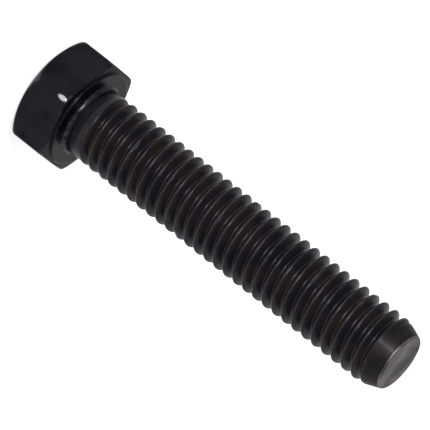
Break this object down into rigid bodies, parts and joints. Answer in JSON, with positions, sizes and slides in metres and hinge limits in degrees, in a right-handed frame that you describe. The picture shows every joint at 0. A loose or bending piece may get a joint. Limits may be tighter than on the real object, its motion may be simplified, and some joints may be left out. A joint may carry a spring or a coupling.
{
  "type": "hex bolt",
  "caption": "Black-oxide steel hex bolt threaded to the head, with a washer face and a tapered point.",
  "frame": {"origin": "centre of the top face of the head, where the bolt stands on its head", "axes": "+Z along the shank from the head to the point, two corners of the hexagon on the Y axis, flats facing +X and -X"},
  "size_m": [0.0142, 0.0166, 0.0571],
  "materials": {
    "black_oxide_steel": "black oxide, lightly oiled, satin"
  },
  "bodies": {
    "root": {"hex_bolt": "black_oxide_steel"}
  },
  "joints": []
}
